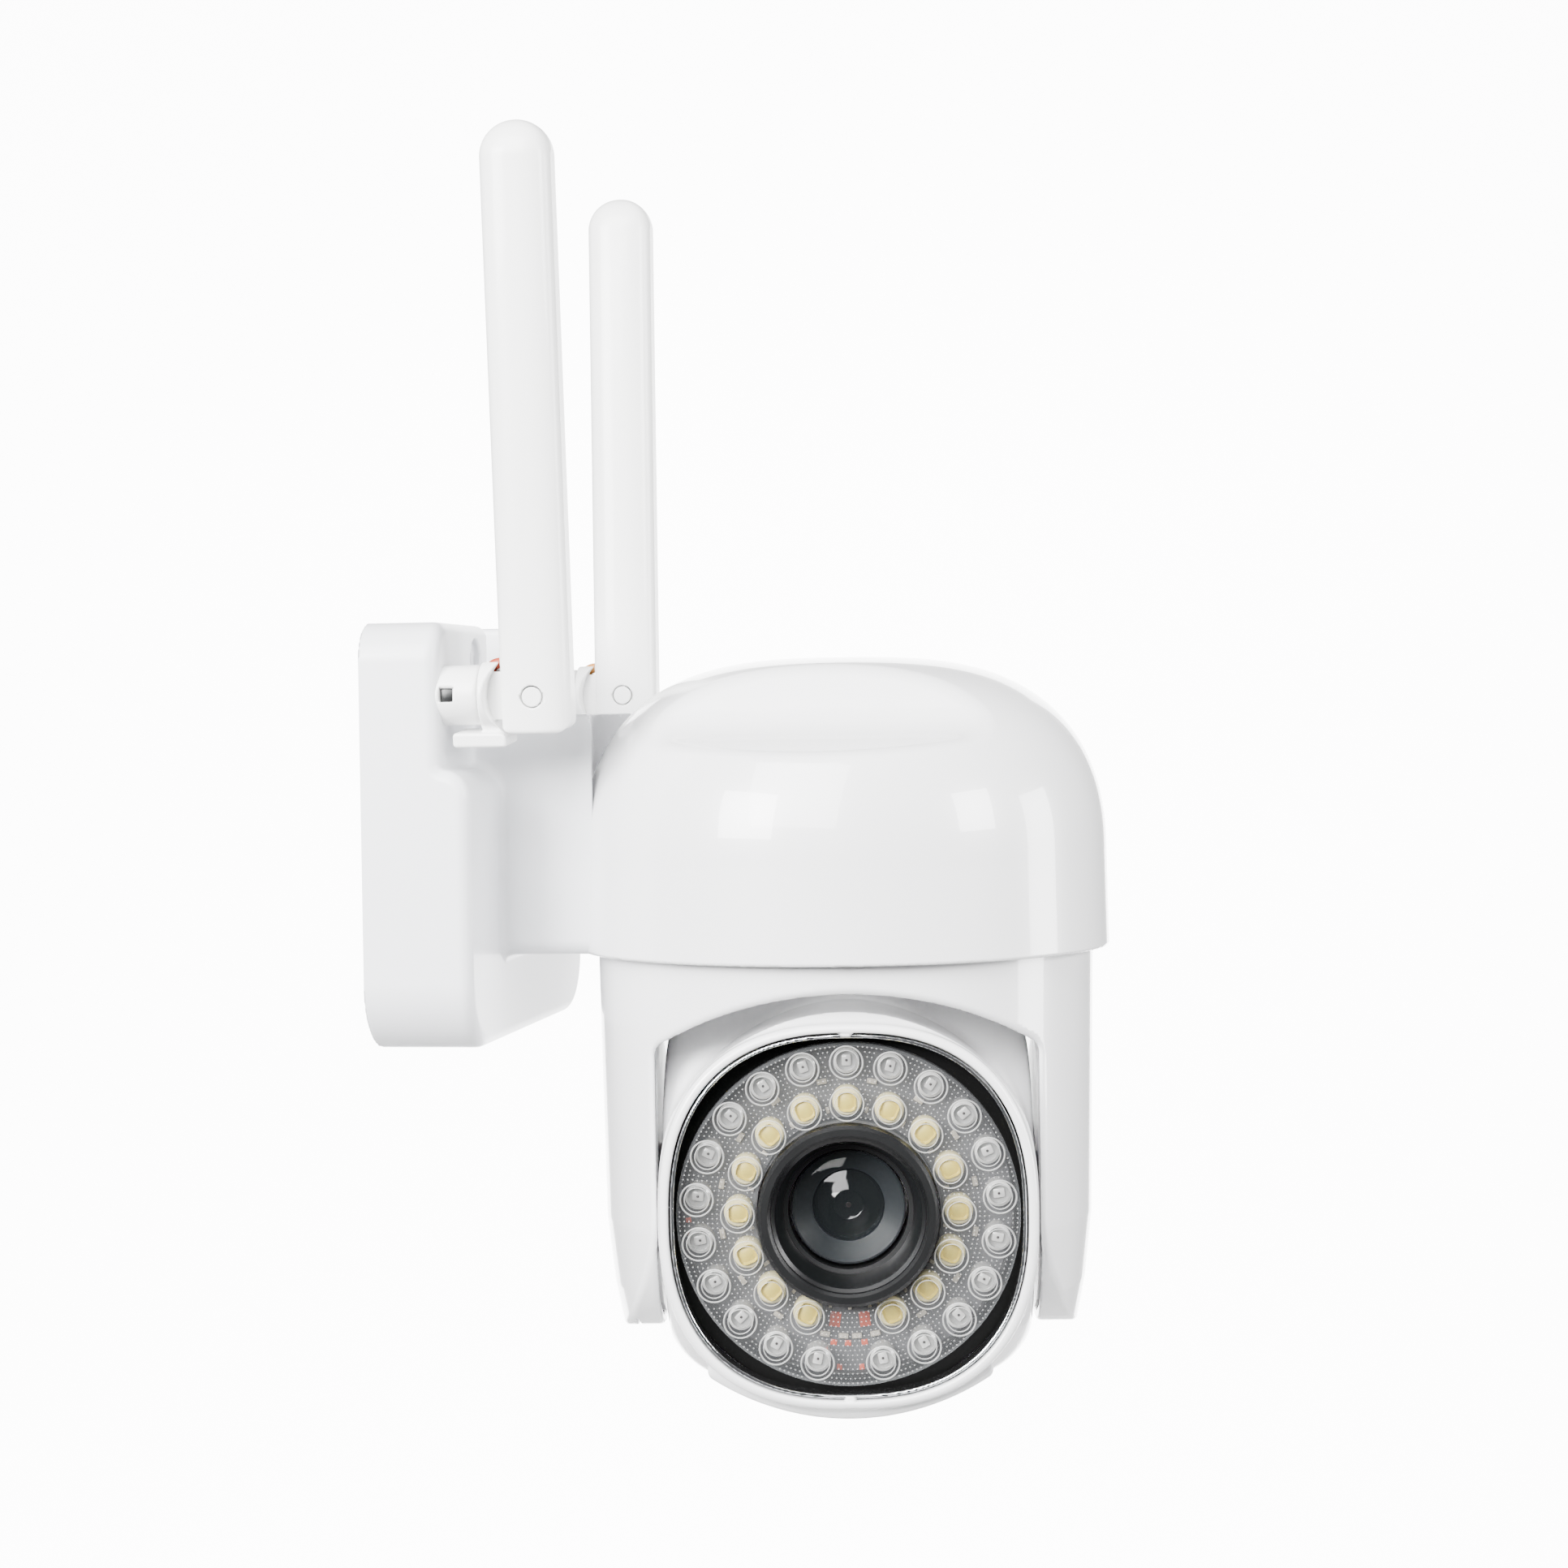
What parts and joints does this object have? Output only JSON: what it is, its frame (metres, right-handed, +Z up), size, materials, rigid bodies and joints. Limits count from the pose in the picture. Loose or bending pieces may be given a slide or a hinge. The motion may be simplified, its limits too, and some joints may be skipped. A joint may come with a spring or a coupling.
{
  "type": "pan tilt security camera",
  "caption": "Wall-mounted outdoor camera: bracket arm, domed hood, turning fork, tilting ring-lit lens head and folding flat antennas.",
  "frame": {"origin": "centre of the wall bracket's back face, on the wall", "axes": "+X out of the wall along the bracket arm, +Z up along the pan axis, the side with the leaning antenna is -Y"},
  "size_m": [0.1262, 0.1001, 0.2241],
  "materials": {
    "white_abs": "satin gloss moulded white ABS",
    "grey_white_abs": "satin moulded cool white ABS",
    "antenna_abs": "satin moulded white ABS",
    "black_plastic": "satin black moulded plastic",
    "black_mask": "matt black moulded plastic",
    "rubber": "matt black silicone rubber",
    "nylon": "natural nylon",
    "steel": "zinc plated steel",
    "brass": "plain brass",
    "chrome_trim": "bright plated trim",
    "board_green": "green circuit board",
    "board_grey": "grey circuit board",
    "clear_plate": "clear moulded acrylic",
    "lens_glass": "coated dark lens glass",
    "coax_red": "red brown cable jacket",
    "coax_tan": "tan cable jacket"
  },
  "bodies": {
    "mount": {"bracket_shell": "grey_white_abs", "bracket_back_plate": "grey_white_abs", "back_plate_screw_1": "steel", "back_plate_screw_2": "steel", "back_plate_screw_3": "steel", "back_plate_screw_4": "steel", "cable_grommet": "rubber", "antenna_socket_right": "antenna_abs", "antenna_socket_left": "antenna_abs", "hood": "white_abs", "speaker": "black_plastic", "chassis_plate": "nylon", "chassis_screw_1": "steel", "chassis_screw_2": "steel", "chassis_screw_3": "steel", "pan_bearing": "steel", "pan_motor": "steel", "main_board": "board_green"},
    "pan_drive_pinion": {"pan_pinion": "nylon"},
    "fork": {"fork_shell": "white_abs", "pan_gear": "nylon", "arm_cover_left": "white_abs", "arm_cover_right": "white_abs", "tilt_fixed_gear": "nylon"},
    "head": {"head_front_cap": "white_abs", "head_rear_shell": "white_abs", "head_screw_1": "steel", "head_screw_2": "steel", "head_screw_3": "steel", "head_screw_4": "steel", "card_hatch": "white_abs", "tilt_bush_left": "nylon", "tilt_bush_right": "nylon", "trim_ring": "chrome_trim", "black_mask": "black_mask", "lens_plate": "clear_plate", "head_gasket": "rubber", "led_board": "board_grey", "lens_tube": "black_plastic", "lens_glass": "lens_glass", "lens_barrel": "black_plastic", "sensor_board": "board_green", "microphone": "black_plastic", "tilt_motor": "steel"},
    "tilt_drive_pinion": {"tilt_pinion": "nylon"},
    "antenna_right_knuckle": {"antenna_right_swivel": "antenna_abs", "antenna_right_coax": "coax_red"},
    "antenna_right_mast": {"antenna_right_blade": "antenna_abs", "antenna_right_hinge_pin": "antenna_abs", "antenna_right_radiator": "brass"},
    "antenna_left_knuckle": {"antenna_left_swivel": "antenna_abs", "antenna_left_coax": "coax_tan"},
    "antenna_left_mast": {"antenna_left_blade": "antenna_abs", "antenna_left_hinge_pin": "antenna_abs", "antenna_left_radiator": "brass"}
  },
  "joints": [
    {"name": "pan", "type": "hinge", "parent": "mount", "child": "fork", "pos_m": [0.0782, 0, -0.015], "axis": [0, 0, 1], "range_deg": [-95, 260]},
    {"name": "pan_pinion_spin", "type": "hinge", "parent": "mount", "child": "pan_drive_pinion", "pos_m": [0.1082, 0, -0.006], "axis": [0, 0, 1], "continuous": true},
    {"name": "tilt", "type": "hinge", "parent": "fork", "child": "head", "pos_m": [0.0782, 0, -0.065], "axis": [0.9914, 0.1305, 0], "range_deg": [0, 90]},
    {"name": "tilt_pinion_spin", "type": "hinge", "parent": "head", "child": "tilt_drive_pinion", "pos_m": [0.04717, 0.01582, -0.05782], "axis": [0.9914, 0.1305, 0], "continuous": true},
    {"name": "antenna_right_swivel_turn", "type": "hinge", "parent": "mount", "child": "antenna_right_knuckle", "pos_m": [0.0206, -0.0378, 0.0245], "axis": [1, 0, 0], "range_deg": [-20.7, 84.3]},
    {"name": "antenna_right_fold", "type": "hinge", "parent": "antenna_right_knuckle", "child": "antenna_right_mast", "pos_m": [0.0304, -0.0378, 0.0245], "axis": [0, 0.9951, 0.0993], "range_deg": [0, 90]},
    {"name": "antenna_left_swivel_turn", "type": "hinge", "parent": "mount", "child": "antenna_left_knuckle", "pos_m": [0.0206, 0.0378, 0.0245], "axis": [1, 0, 0], "range_deg": [-89.6, 15.4]},
    {"name": "antenna_left_fold", "type": "hinge", "parent": "antenna_left_knuckle", "child": "antenna_left_mast", "pos_m": [0.0304, 0.0378, 0.0245], "axis": [0, 1, -0.007], "range_deg": [0, 90]}
  ],
  "couplings": [
    {"joint": "pan_pinion_spin", "follows": "pan", "ratio": -3},
    {"joint": "tilt_pinion_spin", "follows": "tilt", "ratio": 2.5}
  ]
}
